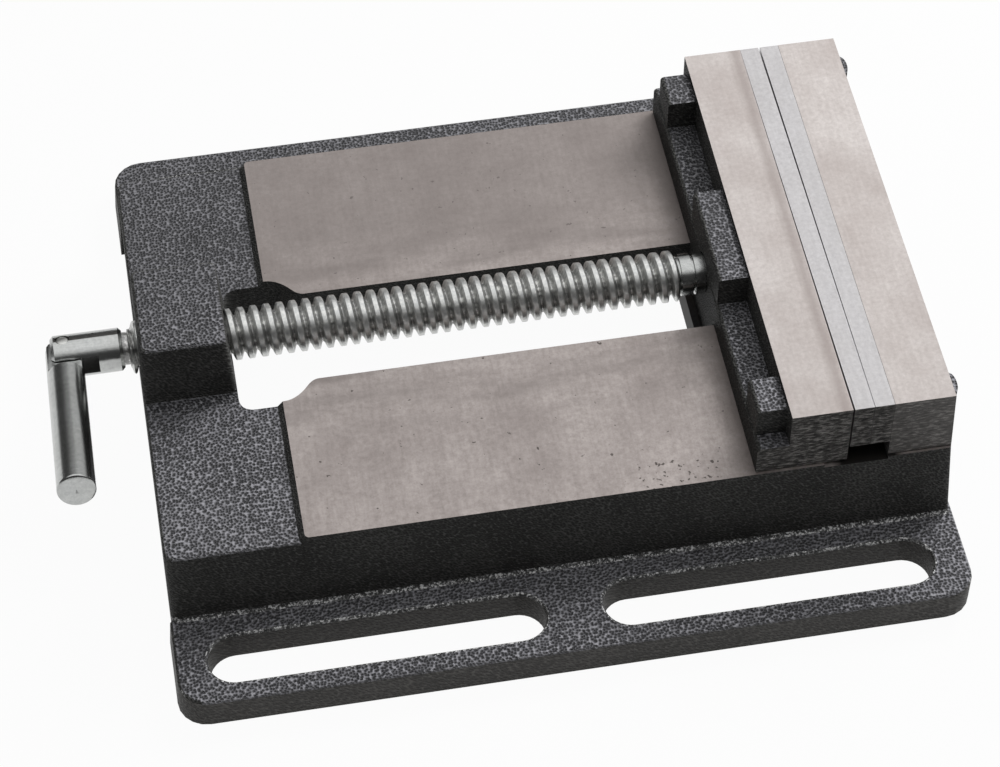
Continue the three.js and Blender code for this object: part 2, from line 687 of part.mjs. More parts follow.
// The handle lies along -Y from its pin before it is tipped: a flat tongue with a round end in the
// fork, cut from the bar, then the round rod with a centre mark in its end.
function handleRod() {
  const round = aboutY([[-rodLength, 0], [-rodLength, rodRadius - rodChamfer], [rodChamfer - rodLength, rodRadius],
    [-shoulderDistance - shoulderChamfer, rodRadius], [-shoulderDistance, rodRadius - shoulderChamfer],
    [-shoulderDistance, 0]]);
  const half = tongueThickness / 2;
  const bar = aboutY(rod(-shoulderDistance - shoulderChamfer, rodRadius, rodRadius));
  const flat = aboutZ(rod(-half, half, rodRadius)).add(
    block([-rodRadius, -shoulderDistance - shoulderChamfer, -half], [rodRadius, 0, half])).intersect(bar);
  const mark = aboutY([[-rodLength - overrun, 0], [-rodLength - overrun, centreMarkRadius],
    [-rodLength, centreMarkRadius], [centreMarkRadius - rodLength, 0]]);
  const hole = aboutZ(rod(-rodRadius, rodRadius, handlePinRadius + seatGap));
  const body = round.add(flat).subtract(mark).subtract(hole);
  return onScrewAxis(moved(tilted(body), handlePinX, 0, 0));
}

// Assembly, in the order of a parts list

const pieces = [
  ["base_casting", baseCasting(), paint],
  ["fixed_jaw_plate", jawPlate(fixedJawFace - seatGap - plateThickness, -1), groundSteel],
  ["moving_jaw_casting", movingJawCasting(), paint],
  ["moving_jaw_plate", jawPlate(movingJawFace + seatGap + plateThickness, 1), groundSteel],
  ["keeper_plate", keeperPlate(), blackSteel],
  ["screw_spindle", spindle(), zinc],
  ["handle_pin", handlePin(), zinc],
  ["handle_rod", handleRod(), zinc],
];
for (const [word, side] of Object.entries(sides)) {
  pieces.push(
    [`fixed_plate_screw_${word}`, plateScrew(fixedJawFace - seatGap - plateThickness, -1, side), blackSteel],
    [`moving_plate_screw_${word}`, plateScrew(movingJawFace + seatGap + plateThickness, 1, side), blackSteel],
    [`retaining_pin_${word}`, retainingPin(side), zinc],
    [`keeper_washer_${word}`, ringWasher(washerRadius, washerThickness, washerTop, side), zinc],
    [`keeper_lock_washer_${word}`, lockWasher(side), blackSteel],
    [`keeper_bolt_${word}`, keeperBolt(side), zinc],
  );
}

const group = new THREE.Group();
for (const [name, body, material] of pieces) group.add(piece(name, moved(body, -viseMiddle, 0, 0), material));

export default group;
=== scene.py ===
# %% [markdown]
# # A drill press vise
# The vise is a heavy iron casting with two machined ways on top. A screw pulls a moving jaw along
# them, and a short folding handle turns the screw. The engineering model is loaded as a fixed
# frame of named parts, and each cell below gives one part its finish, or a finer surface.

import json

import bmesh
import bpy
import numpy as np
from mathutils import Matrix, Vector


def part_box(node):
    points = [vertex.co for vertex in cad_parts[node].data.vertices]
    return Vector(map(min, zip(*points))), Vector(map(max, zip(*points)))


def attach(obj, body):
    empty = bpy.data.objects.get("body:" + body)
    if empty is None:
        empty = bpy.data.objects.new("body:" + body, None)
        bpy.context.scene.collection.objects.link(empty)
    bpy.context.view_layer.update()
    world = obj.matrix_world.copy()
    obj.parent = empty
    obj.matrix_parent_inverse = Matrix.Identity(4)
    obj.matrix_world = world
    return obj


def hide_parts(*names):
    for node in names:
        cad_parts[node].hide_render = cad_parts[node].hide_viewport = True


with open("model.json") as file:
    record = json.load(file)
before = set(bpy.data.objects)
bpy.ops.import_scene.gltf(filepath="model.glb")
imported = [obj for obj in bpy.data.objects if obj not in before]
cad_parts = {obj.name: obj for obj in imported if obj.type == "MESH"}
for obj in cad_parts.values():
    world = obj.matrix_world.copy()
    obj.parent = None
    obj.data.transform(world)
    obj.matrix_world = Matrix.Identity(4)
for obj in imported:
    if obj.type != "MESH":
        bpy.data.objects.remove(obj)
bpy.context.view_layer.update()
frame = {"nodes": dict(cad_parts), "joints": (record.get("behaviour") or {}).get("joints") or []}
nodes = frame["nodes"]
MM = 0.001
print("parts in the frame:", len(nodes))

# %% [markdown]
# ## Measures taken from the frame
# A finer piece has to sit exactly where its plain part is. Its place could be typed in again, but
# then it would be wrong as soon as the part changed. So the places below come from the boxes of the
# parts, and the joints give the axes of the screw and of the handle's pin. X runs along the screw,
# from the handle to the fixed jaw, and every measure is in millimetres.


# %% Places and axes
def x_range(node_name):
    """The lowest and the highest x of a part at rest."""
    low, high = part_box(node_name)
    return low[0] / MM, high[0] / MM


joints = {j["name"]: j for j in frame["joints"]}
SCREW_Z = joints["screw_turn"]["pos_m"][2] / MM
SCREW_AXIS = np.array([1.0, 0.0, 0.0])
PIN = np.array(joints["handle_fold"]["pos_m"]) / MM
PIN_AXIS = -np.array(joints["handle_fold"]["axis"])
ROD_AXIS = np.cross(SCREW_AXIS, PIN_AXIS)
SCREW_START, SCREW_END = x_range("screw_spindle")
JAW_START, JAW_END = x_range("moving_jaw_casting")
PLATE_END = x_range("fixed_jaw_plate")[1]
PIN_TO_BODY = 22.25
BODY = PIN[0] + PIN_TO_BODY
FLANGE_TOP, HALF_JAW = 10.7, 75.0
print("handle end of the body at x =", round(BODY, 2), "mm")

# %% [markdown]
# ## The camera
# The photograph is taken from the front, a little to the left and high above, with a long lens.
# The camera could be placed by eye, but the base has many straight edges of known direction. Its
# place, its turn and its lens were solved from those, so the parts fall where the photograph has
# them.

# %% Camera
camera = bpy.data.objects.new("camera", bpy.data.cameras.new("camera"))
bpy.context.scene.collection.objects.link(camera)
camera.data.sensor_width = 36
camera.data.lens = 108.855
camera.data.clip_end = 20
right = Vector((0.985354, -0.170505, -0.002147))
up = Vector((0.133552, 0.763851, 0.631423))
back = right.cross(up)
turn = Matrix((right, up, back)).transposed()
place = Vector((BODY + 9.44, -596.58, 746.72)) * MM
camera.matrix_world = Matrix.Translation(place) @ turn.to_4x4()
bpy.context.scene.camera = camera
bpy.context.scene.view_settings.view_transform = "Standard"
print("camera at", [round(v, 3) for v in place])

# %% [markdown]
# ## The white sheet
# The vise stands on a white sheet that shows no edge. More light would make the sheet white, but it
# would also wash out the paint. So the sheet's material asks what kind of ray meets it: to the
# camera and to polished steel it is almost plain white, with a little shadow left in it, and to
# the light that it throws back at the vise it is grey paper.


# %% Helpers for a material's tree
def node_tree(material):
    """The material's empty node tree with an output node."""
    material.use_nodes = True
    tree = material.node_tree
    tree.nodes.clear()
    return tree, tree.nodes.new("ShaderNodeOutputMaterial")


def seen_directly(tree):
    """1 for rays from the camera, from a mirror or through glass, and 0 for light that spreads."""
    path = tree.nodes.new("ShaderNodeLightPath")
    total = path.outputs["Is Camera Ray"]
    for ray in ("Is Glossy Ray", "Is Transmission Ray"):
        larger = tree.nodes.new("ShaderNodeMath")
        larger.operation = "MAXIMUM"
        tree.links.new(total, larger.inputs[0])
        tree.links.new(path.outputs[ray], larger.inputs[1])
        total = larger.outputs[0]
    return total


# %% Floor
PAPER_GREY, WHITE_SHARE = 0.42, 0.96
FLOOR_REACH, FLOOR_DROP = 4.0, 0.0004

floor_material = bpy.data.materials.new("white_sheet")
tree, output = node_tree(floor_material)
paper = tree.nodes.new("ShaderNodeBsdfDiffuse")
paper.inputs["Color"].default_value = (PAPER_GREY, PAPER_GREY, PAPER_GREY, 1)
white = tree.nodes.new("ShaderNodeEmission")
share = tree.nodes.new("ShaderNodeMath")
share.operation = "MULTIPLY"
share.inputs[1].default_value = WHITE_SHARE
tree.links.new(seen_directly(tree), share.inputs[0])
mix = tree.nodes.new("ShaderNodeMixShader")
for number, source in enumerate((share, paper, white)):
    tree.links.new(source.outputs[0], mix.inputs[number])
tree.links.new(mix.outputs[0], output.inputs[0])

quarters = ((-1, -1), (1, -1), (1, 1), (-1, 1))
corners = [(FLOOR_REACH * x, FLOOR_REACH * y, -FLOOR_DROP) for x, y in quarters]
floor_mesh = bpy.data.meshes.new("floor")
floor_mesh.from_pydata(corners, [], [(0, 1, 2, 3)])
floor = bpy.data.objects.new("floor", floor_mesh)
bpy.context.scene.collection.objects.link(floor)
floor_mesh.materials.append(floor_material)
print("floor laid, metres across:", 2 * FLOOR_REACH)

# %% [markdown]
# ## Sky and lamp
# In the photograph the tops of the vise are light, its upright faces are nearly black, and a dark
# stripe runs along the round steel. An even white sky would turn all of them the same grey. So the
# sky is bright overhead and dark near the horizon, and has one window, behind on the right, that
# crests and rounded edges can catch. One soft lamp, also behind and to the right, casts the soft
# shadows in front of the screw boss and of the base's near wall.

# %% Sky
world = bpy.data.worlds.new("studio")
bpy.context.scene.world = world
world.use_nodes = True
tree = world.node_tree
tree.nodes.clear()


def sky_patch(tree, toward, start, full, outside, inside):
    """A strength over the sky. How near a direction is to the one that is named is the dot product
    of the two. From start to full it carries the strength smoothly from outside to inside."""
    sky = tree.nodes.new("ShaderNodeTexCoord").outputs["Generated"]
    near = tree.nodes.new("ShaderNodeVectorMath")
    near.operation = "DOT_PRODUCT"
    near.inputs[1].default_value = Vector(toward).normalized()
    tree.links.new(sky, near.inputs[0])
    smooth = tree.nodes.new("ShaderNodeMapRange")
    smooth.interpolation_type = "SMOOTHSTEP"
    limits = (("From Min", start), ("From Max", full), ("To Min", outside), ("To Max", inside))
    for name, value in limits:
        smooth.inputs[name].default_value = value
    tree.links.new(near.outputs["Value"], smooth.inputs["Value"])
    return smooth.outputs[0]


overhead = sky_patch(tree, (0.18, 0.22, 0.95), start=0.5, full=0.92, outside=0.065, inside=1.2)
window = sky_patch(tree, (0.45, 0.8, 0.38), start=0.88, full=0.985, outside=0.0, inside=0.7)
level = tree.nodes.new("ShaderNodeMath")
level.operation = "MAXIMUM"
tree.links.new(overhead, level.inputs[0])
tree.links.new(window, level.inputs[1])
soft = tree.nodes.new("ShaderNodeBackground")
soft.inputs["Color"].default_value = (1, 1, 1, 1)
tree.links.new(level.outputs[0], soft.inputs["Strength"])
plain_white = tree.nodes.new("ShaderNodeBackground")
path = tree.nodes.new("ShaderNodeLightPath")
mix = tree.nodes.new("ShaderNodeMixShader")
tree.links.new(path.outputs["Is Camera Ray"], mix.inputs[0])
tree.links.new(soft.outputs[0], mix.inputs[1])
tree.links.new(plain_white.outputs[0], mix.inputs[2])
tree.links.new(mix.outputs[0], tree.nodes.new("ShaderNodeOutputWorld").inputs[0])
print("sky made, nodes:", len(tree.nodes))


# %% Lamp
def softbox(name, place, target, size, watts):
    """A rectangular area lamp that looks at the target."""
    lamp = bpy.data.objects.new(name, bpy.data.lights.new(name, "AREA"))
    bpy.context.scene.collection.objects.link(lamp)
    lamp.data.shape = "RECTANGLE"
    lamp.data.size, lamp.data.size_y = size
    lamp.data.energy = watts
    lamp.location = place
    lamp.rotation_euler = (Vector(target) - Vector(place)).to_track_quat("-Z", "Y").to_euler()
    return lamp


key = softbox("key", place=(0.45, 0.3, 0.55), target=(0, 0, 0), size=(0.3, 0.3), watts=5.6)
key.visible_glossy = False
print("lamp set, watts:", round(key.data.energy, 1))

# %% [markdown]
# ## Finishes
# The paint and the bare metal each come in several tones, which differ in a few numbers only. The
# nodes could be copied from material to material, but then a change to one would miss the others.
# So the two effects that they share are node groups: the hammered paint with its small dark pits,
# and the marks of a cutter on iron, with stains and grain. Each material places the group it needs
# with values of its own, and keeps its shader to itself.


# %% Helpers for nodes
def add(tree, kind, links=(), **values):
    """A new node. A value named in_X goes to the socket X, given by name or number, and any other
    one is a setting of the node. A link is an output socket and the input that it goes to."""
    node = tree.nodes.new(kind)
    sockets = {key[3:]: value for key, value in values.items() if key.startswith("in_")}
    for key, value in values.items():
        if not key.startswith("in_"):
            setattr(node, key, value)
    for key, value in sockets.items():
        socket = node.inputs[int(key)] if key.isdigit() else node.inputs[key.replace("_", " ")]
        socket.default_value = value
    for source, target in links:
        tree.links.new(source, node.inputs[target])
    return node


def calc(tree, operation, *values):
    """One step of arithmetic over the surface. Each value is a number or another node's output."""
    node = tree.nodes.new("ShaderNodeMath")
    node.operation = operation
    for socket, value in zip(node.inputs, values):
        if isinstance(value, (int, float)):
            socket.default_value = value
        else:
            tree.links.new(value, socket)
    return node.outputs[0]


def object_spot(tree):
    """The shaded point in the object's own coordinates, in metres."""
    return tree.nodes.new("ShaderNodeTexCoord").outputs["Object"]


def xyz(tree, vector):
    """The three numbers of a vector."""
    return add(tree, "ShaderNodeSeparateXYZ", [(vector, 0)]).outputs[:]


def noise(tree, spot, scale, detail, roughness=0.5):
    """Cloudy values from 0 to 1. One metre holds about as many clouds as the scale says."""
    node = add(tree, "ShaderNodeTexNoise", [(spot, "Vector")], in_Scale=scale, in_Detail=detail,
               in_Roughness=roughness)
    return node.outputs["Fac"]


def fade(tree, value, start, full, most=1.0):
    """0 up to where the value is at the start, then rising evenly to most where it is at full."""
    node = add(tree, "ShaderNodeMapRange", [(value, "Value")], in_From_Min=start, in_From_Max=full,
               in_To_Max=most)
    return node.outputs[0]


def ramp(tree, source, stops):
    """A colour ramp of (place, grey or colour) stops on the source value."""
    node = tree.nodes.new("ShaderNodeValToRGB")
    elements = node.color_ramp.elements
    while len(elements) < len(stops):
        elements.new(0.5)
    for element, (spot, value) in zip(elements, stops):
        element.position = spot
        grey = (value, value, value) if isinstance(value, (int, float)) else value
        element.color = (*grey, 1)
    tree.links.new(source, node.inputs[0])
    return node.outputs[0]


def new_group(name, inputs, outputs):
    """A shader node group with inputs {name: number or vector} and outputs of the names given."""
    group = bpy.data.node_groups.new(name, "ShaderNodeTree")
    for key, value in inputs.items():
        kind = "NodeSocketVector" if isinstance(value, tuple) else "NodeSocketFloat"
        group.interface.new_socket(key, in_out="INPUT", socket_type=kind).default_value = value
    for key in outputs:
        group.interface.new_socket(key, in_out="OUTPUT", socket_type="NodeSocketFloat")
    return group, group.nodes.new("NodeGroupInput"), group.nodes.new("NodeGroupOutput")


# %% [markdown]
# ### Hammered paint
# Hammered paint draws together as it dries and leaves a skin full of small pits. Their dark colour is
# partly the paint's own pattern and partly painted shade in the pits, and the bright points on the
# crests between them are painted highlights. A Voronoi texture gives one pit to each cell: its
# Distance is 0 in the middle of a pit and grows towards the crest. Cells in space would be cut at any
# height, and the pits would vary too much, so the pattern is flat. That alone would run into stripes
# on an upright wall, and so x and y take on some of the height.

# %% Hammered paint group
hammer, enter, leave = new_group(
    "hammered_paint", {"Cell": 900.0, "Warp": 0.0005, "Cover": 0.0}, ("Pits", "Height", "PaintedGlints")
)
spot = object_spot(hammer)
x, y, z = xyz(hammer, spot)
lean_x = calc(hammer, "MULTIPLY_ADD", z, 0.7, x)
lean_y = calc(hammer, "MULTIPLY_ADD", z, 0.8, y)
sheet = add(hammer, "ShaderNodeCombineXYZ", [(lean_x, 0), (lean_y, 1)])
wander = add(hammer, "ShaderNodeTexNoise", [(spot, "Vector")], in_Scale=900, in_Detail=1.0)
shift = add(hammer, "ShaderNodeVectorMath", [(wander.outputs["Color"], 0)], operation="SUBTRACT",
            in_1=(0.5, 0.5, 0.5))
amount = add(hammer, "ShaderNodeVectorMath", [(shift.outputs[0], 0), (enter.outputs["Warp"], "Scale")],
             operation="SCALE")
bent = add(hammer, "ShaderNodeVectorMath", [(sheet.outputs[0], 0), (amount.outputs[0], 1)],
           operation="ADD")
cells = add(hammer, "ShaderNodeTexVoronoi",
            [(bent.outputs[0], "Vector"), (enter.outputs["Cell"], "Scale")],
            feature="F1", voronoi_dimensions="2D", in_Randomness=0.85)
from_pit = cells.outputs["Distance"]

# A pit is where the reach, which varies over the casting, is larger than the distance from its
# middle. The last two numbers give the pit its soft rim.
patchy = calc(hammer, "MULTIPLY", noise(hammer, spot, scale=420, detail=2.0), 0.5)
reach = calc(hammer, "ADD", patchy, enter.outputs["Cover"])
inside = calc(hammer, "SUBTRACT", reach, from_pit)
rimmed = calc(hammer, "MULTIPLY_ADD", inside, 2.7, 0.42)
pits = add(hammer, "ShaderNodeClamp", [(rimmed, "Value")])
height = add(hammer, "ShaderNodeClamp", [(from_pit, "Value")], in_Max=0.6)
crests = calc(hammer, "MULTIPLY", from_pit, noise(hammer, spot, scale=1500, detail=1.0))
hammer.links.new(pits.outputs[0], leave.inputs["Pits"])
hammer.links.new(height.outputs[0], leave.inputs["Height"])
# The crests between the pits, where the paint gets a painted highlight.
hammer.links.new(ramp(hammer, crests, [(0.29, 0.0), (0.41, 1.0)]), leave.inputs["PaintedGlints"])
print("shared effect:", hammer.name, "nodes:", len(hammer.nodes))

# %% [markdown]
# ### Cutter marks
# A milling cutter leaves fine lines, and bare iron soon gets stains and a dark grain. The lines are
# noise whose coordinates are squeezed along one axis, so that each cloud becomes a line square to
# that axis. Stains and grain are the same noise, unsqueezed, at a coarse and at a fine scale.

# %% Cutter marks group
lines, enter, leave = new_group(
    "cutter_lines", {"Squeeze": (1.0, 40.0, 1.0), "Scale": 60.0}, ("Lines", "Stain", "Grain")
)
spot = object_spot(lines)
squeezed = add(lines, "ShaderNodeVectorMath", [(spot, 0), (enter.outputs["Squeeze"], 1)],
               operation="MULTIPLY")
streaks = add(lines, "ShaderNodeTexNoise",
              [(squeezed.outputs[0], "Vector"), (enter.outputs["Scale"], "Scale")],
              in_Detail=4.0, in_Roughness=0.65)
cloud = noise(lines, spot, scale=38, detail=6.0, roughness=0.62)
fine = noise(lines, spot, scale=700, detail=3.0, roughness=0.7)
for source, stops, name in (
    (streaks.outputs["Fac"], [(0.3, 0.0), (0.7, 1.0)], "Lines"),
    (cloud, [(0.35, 0.0), (0.68, 1.0)], "Stain"),
    (fine, [(0.3, 0.0), (0.7, 1.0)], "Grain"),
):
    lines.links.new(ramp(lines, source, stops), leave.inputs[name])
print("shared effect:", lines.name, "nodes:", len(lines.nodes))


# %% Helpers for shaders
def principled(name, metallic, roughness):
    """A material with one Principled BSDF. Returns the material, its tree and the shader."""
    material = bpy.data.materials.new(name)
    tree, output = node_tree(material)
    shader = add(tree, "ShaderNodeBsdfPrincipled")
    shader.inputs["Metallic"].default_value = metallic
    shader.inputs["Roughness"].default_value = roughness
    tree.links.new(shader.outputs[0], output.inputs[0])
    return material, tree, shader


def shader_of(material):
    """The material's Principled BSDF."""
    return next(n for n in material.node_tree.nodes if n.type == "BSDF_PRINCIPLED")


def placed(tree, effect, **values):
    """A shared effect, placed in a material's tree with that material's values."""
    node = tree.nodes.new("ShaderNodeGroup")
    node.node_tree = effect
    for name, value in values.items():
        node.inputs[name].default_value = value
    return node


def blend_colors(tree, factor, a, b):
    """Colour a where the factor is 0 and b where it is 1."""
    node = tree.nodes.new("ShaderNodeMix")
    node.data_type = "RGBA"
    for socket, value in ((node.inputs[6], a), (node.inputs[7], b)):
        if isinstance(value, tuple):
            socket.default_value = (*value, 1)
        else:
            tree.links.new(value, socket)
    tree.links.new(factor, node.inputs[0])
    return node.outputs[2]


def roughen(tree, shader, height, distance, strength):
    """Tilts the shading as if the surface stood out by the height, times the distance in metres."""
    bump = add(tree, "ShaderNodeBump", [(height, "Height")], in_Distance=distance, in_Strength=strength)
    tree.links.new(bump.outputs[0], shader.inputs["Normal"])


# %% [markdown]
# ### The paints
# The tops carry the thick, shiny hammered paint. The upright faces took less of it and came out
# smoother, and so they get materials of their own, with the same pits but less relief; their darker
# colour is painted shade. The foot of the moving jaw lies in deep shade and gets a still darker copy,
# painted deep shade, and the flange's rim a lighter, slightly browner one, painted shade that is less
# deep than on the walls above.


# %% Paint
def hammered(name, skin, pit, cell, cover, roughness, specular, bump_height):
    """Charcoal paint: grey skin between small dark pits, with painted highlights on the crests and slow
    changes of tone. Cell is the number of pits in a metre, and cover makes each pit wider."""
    material, tree, shader = principled(name, 0.0, roughness)
    shader.inputs["Specular IOR Level"].default_value = specular
    effect = placed(tree, hammer, Cell=cell, Cover=cover)
    dull, glint_highlight = (tuple(v * times for v in skin) for times in (0.6, 1.5))
    clouds = noise(tree, object_spot(tree), scale=70, detail=4.0)
    slow = ramp(tree, clouds, [(0.3, 0.0), (0.65, 1.0)])
    pitted = blend_colors(tree, effect.outputs["Pits"], blend_colors(tree, slow, dull, skin), pit)
    # The crests are lightened: a painted highlight.
    color = blend_colors(tree, effect.outputs["PaintedGlints"], pitted, glint_highlight)
    tree.links.new(color, shader.inputs["Base Color"])
    roughen(tree, shader, effect.outputs["Height"], distance=bump_height, strength=1.0)
    return material


paint = hammered(
    "hammered_charcoal_paint", skin=(0.178, 0.177, 0.192), pit=(0.028, 0.028, 0.030),
    cell=1010, cover=0.17, roughness=0.34, specular=0.6, bump_height=0.0006,
)
# Painted shade: upright faces and faces that lean away get this darker copy of the paint.
side_shade_paint = hammered(
    "side_shade_charcoal_paint", skin=(0.078, 0.078, 0.075), pit=(0.028, 0.028, 0.027),
    cell=1150, cover=0.1, roughness=0.6, specular=0.12, bump_height=0.0003,
)
# Painted deep shade for what looks to the handle low down on the moving jaw.
deep_shade_paint = hammered(
    "shaded_charcoal_paint", skin=(0.045, 0.045, 0.043), pit=(0.018, 0.018, 0.017),
    cell=1150, cover=0.1, roughness=0.6, specular=0.1, bump_height=0.0003,
)
# Painted shade for the flange's upright faces, less deep than on the walls above.
flange_shade_paint = hammered(
    "flange_side_shade_paint", skin=(0.11, 0.106, 0.10), pit=(0.04, 0.038, 0.035),
    cell=900, cover=0.1, roughness=0.55, specular=0.2, bump_height=0.0002,
)
print("paints:", paint.name, side_shade_paint.name, deep_shade_paint.name, flange_shade_paint.name)

# %% [markdown]
# ### Beads of paint, with painted highlights
# Along the foot of the near wall the wet paint ran together into small beads, and the rims of the
# clamping slots get the same finish. Their light points are painted highlights. They could be
# hundreds of little domes, but each is under a millimetre wide, so fine noise does it: its highest
# spots are nearly white, and the rest stays dark.

# %% Beaded paint with painted highlights
bead_highlight_paint, tree, shader = principled("bead_highlight_fillet_paint", 0.0, 0.35)
beads = noise(tree, object_spot(tree), scale=1250, detail=2.0, roughness=0.7)
# The nearly white top of the ramp is a painted highlight.
bead_highlight_color = ramp(tree, beads, [(0.42, 0.03), (0.53, 0.13), (0.61, 0.72)])
tree.links.new(bead_highlight_color, shader.inputs["Base Color"])
roughen(tree, shader, beads, distance=0.0004, strength=0.8)
print("paint for the foot of the wall:", bead_highlight_paint.name)

# %% [markdown]
# ### Bare metal
# The ways and the jaw tops were milled, the jaw plates ground, and the screw and its handle turned.
# One function makes them all from the cutter marks. A fully metallic way turns dark brown where it
# mirrors the dark part of the sky, so the milled tops are only half metal. The blackened steel is
# no metal at all: its oxide layer hides the shine.

# %% Machined metal
LINE_SHARE = 0.35
EVEN = (1.0, 1.0, 1.0)


def machined(name, dark, light, stain, roughness, squeeze, scale=60.0, stain_share=0.5, metallic=1.0):
    """Bare metal: a fine grain, fainter cutter lines square to the squeezed axis, and soft stains."""
    material, tree, shader = principled(name, metallic, roughness)
    effect = placed(tree, lines, Squeeze=squeeze, Scale=scale)
    marks = add(tree, "ShaderNodeMix", [(effect.outputs["Grain"], 2), (effect.outputs["Lines"], 3)],
                in_0=LINE_SHARE).outputs[0]
    metal = blend_colors(tree, marks, dark, light)
    stained = calc(tree, "MULTIPLY", effect.outputs["Stain"], stain_share)
    tree.links.new(blend_colors(tree, stained, metal, stain), shader.inputs["Base Color"])
    roughen(tree, shader, marks, distance=0.00002, strength=0.6)
    return material


ways = machined(
    "milled_ways", dark=(0.308, 0.272, 0.257), light=(0.518, 0.467, 0.448),
    stain=(0.205, 0.174, 0.164), roughness=0.5, squeeze=(14.0, 1.0, 1.0), metallic=0.55,
)
jaw_top = machined(
    "milled_jaw_top", dark=(0.485, 0.446, 0.427), light=(0.68, 0.636, 0.617),
    stain=(0.35, 0.295, 0.276), roughness=0.5, squeeze=(14.0, 1.0, 1.0), metallic=0.55,
)
plate = machined(
    "ground_plate", dark=(0.46, 0.448, 0.456), light=(0.645, 0.632, 0.64), stain=(0.43, 0.41, 0.40),
    roughness=0.38, squeeze=(12.0, 1.0, 1.0), stain_share=0.3, metallic=0.75,
)
bright_steel = machined(
    "turned_steel", dark=(0.39, 0.40, 0.40), light=(0.56, 0.57, 0.56), stain=(0.33, 0.33, 0.31),
    roughness=0.21, squeeze=(1.0, 30.0, 1.0), scale=80.0, stain_share=0.4,
)
zinc = machined(
    "zinc_plated_steel", dark=(0.55, 0.56, 0.55), light=(0.66, 0.67, 0.66), stain=(0.5, 0.48, 0.42),
    roughness=0.3, squeeze=EVEN, scale=200.0, stain_share=0.4,
)
black = machined(
    "blackened_steel", dark=(0.02, 0.02, 0.022), light=(0.045, 0.045, 0.048),
    stain=(0.05, 0.035, 0.025), roughness=0.5, squeeze=EVEN, scale=200.0, metallic=0.0,
)
shader_of(black).inputs["Specular IOR Level"].default_value = 0.12
# Painted shade: a darker steel for the inside faces of the fork's slot.
slot_shade_steel = machined(
    "milled_slot_shade", dark=(0.07, 0.07, 0.068), light=(0.14, 0.14, 0.136), stain=(0.06, 0.055, 0.05),
    roughness=0.5, squeeze=EVEN, scale=200.0,
)
print("bare metals:", ways.name, jaw_top.name, plate.name, bright_steel.name, zinc.name, black.name)

# %% [markdown]
# ### Marks in their places
# Some marks belong to one place: painted shade at the jaw's foot, rust on one edge, and painted
# shade over the far half, where the light falls off. Each could be a mesh or a material of its own.
# It is easier to lay a second colour over the first, with a factor worked out from the place on the
# object. Object coordinates move with their part, and so the marks stay on it.


# %% Helpers for marks
def squeezed_noise(tree, squeeze, scale, detail, roughness=0.5):
    """Noise over the object, drawn out along an axis where the squeeze is small."""
    spot = add(tree, "ShaderNodeVectorMath", [(object_spot(tree), 0)], operation="MULTIPLY",
               in_1=squeeze)
    return noise(tree, spot.outputs[0], scale, detail, roughness)


def band(tree, centre, half, soft):
    """1 in a band across the object's X, round the centre, and 0 outside, with soft edges."""
    x = xyz(tree, object_spot(tree))[0]
    away = calc(tree, "ABSOLUTE", calc(tree, "SUBTRACT", x, centre * MM))
    return fade(tree, away, (half + soft) * MM, (half - soft) * MM)


def tint(material, factor, color):
    """Lays a colour over the material's own, by the factor."""
    tree = material.node_tree
    socket = shader_of(material).inputs["Base Color"]
    tree.links.new(blend_colors(tree, factor, socket.links[0].from_socket, color), socket)


# %% Shade on the far half of the paint
tree = paint.node_tree
y = xyz(tree, object_spot(tree))[1]
tint(paint, fade(tree, y, -30 * MM, 12 * MM, most=0.38), (0.03, 0.03, 0.032))
print("shaded:", paint.name)

# %% [markdown]
# ### Ends and tops of the jaws
# The ends of the jaws show the coarse strokes of a worn cutter, black in the dips. They could be
# cut into the mesh, but seen from any distance they are noise, drawn out a little along the screw.
# The fixed jaw's end is lighter than the moving one's. A narrow darker line runs along the moving
# jaw's top, beside its plate.

# %% Jaw ends and tops
STROKE_DARK, STROKE_LIGHT = (0.014, 0.014, 0.0135), (0.19, 0.182, 0.175)
jaw_end, tree, shader = principled("rough_milled_end", 1.0, 0.55)
strokes = squeezed_noise(tree, (1.0, 1.0, 3.4), scale=430, detail=4.0, roughness=0.7)
stroke_stops = [(0.36, STROKE_DARK), (0.5, (0.05, 0.048, 0.046)), (0.66, STROKE_LIGHT)]
stroke_color = ramp(tree, strokes, stroke_stops)
tree.links.new(stroke_color, shader.inputs["Base Color"])
roughen(tree, shader, strokes, distance=0.0002, strength=0.5)
on_fixed_jaw = band(tree, PLATE_END + 14, half=14.0, soft=0.5)
tint(jaw_end, calc(tree, "MULTIPLY", on_fixed_jaw, 0.25), STROKE_LIGHT)

tree = jaw_top.node_tree
by_plate = band(tree, JAW_END - 2.0, half=1.6, soft=1.2)
tint(jaw_top, calc(tree, "MULTIPLY", by_plate, 0.55), (0.30, 0.255, 0.24))
print("marked:", jaw_end.name, jaw_top.name)

# %% [markdown]
# ### Wear and painted shade on the ways
# The ways carry the most marks, and each is one more colour laid over the last. First come dark
# specks all over, then a patchy line of painted shade at the moving jaw's foot, a stripe of painted
# shade under the closed jaw plates, a slow painted darkening towards the far side, crisp rust specks
# along the near edge, and last the brown smears that the sliding jaw has rubbed along the inner
# halves.

# %% Ways
# The second brown serves both the painted shade of the far side and the smears that the jaw rubbed.
SPECK_BROWN, SHADE_AND_RUBBED_BROWN = (0.05, 0.04, 0.035), (0.20, 0.175, 0.165)
tree = ways.node_tree
small = squeezed_noise(tree, EVEN, scale=520, detail=2.0)
specks = ramp(tree, small, [(0.72, 0.0), (0.75, 0.8)])
tint(ways, specks, SPECK_BROWN)
broad = squeezed_noise(tree, EVEN, scale=60, detail=3.0)
# Painted shade along the moving jaw's foot, in patches.
patchy_foot_shade = ramp(tree, broad, [(0.3, 0.35), (0.7, 0.8)])
shade_at_foot = band(tree, JAW_START, half=4.0, soft=4.0)
tint(ways, calc(tree, "MULTIPLY", patchy_foot_shade, shade_at_foot), (0.16, 0.135, 0.125))
# Painted shade under the closed jaw plates.
tint(ways, band(tree, JAW_END + 6.5, half=9.5, soft=1.5), (0.022, 0.02, 0.018))

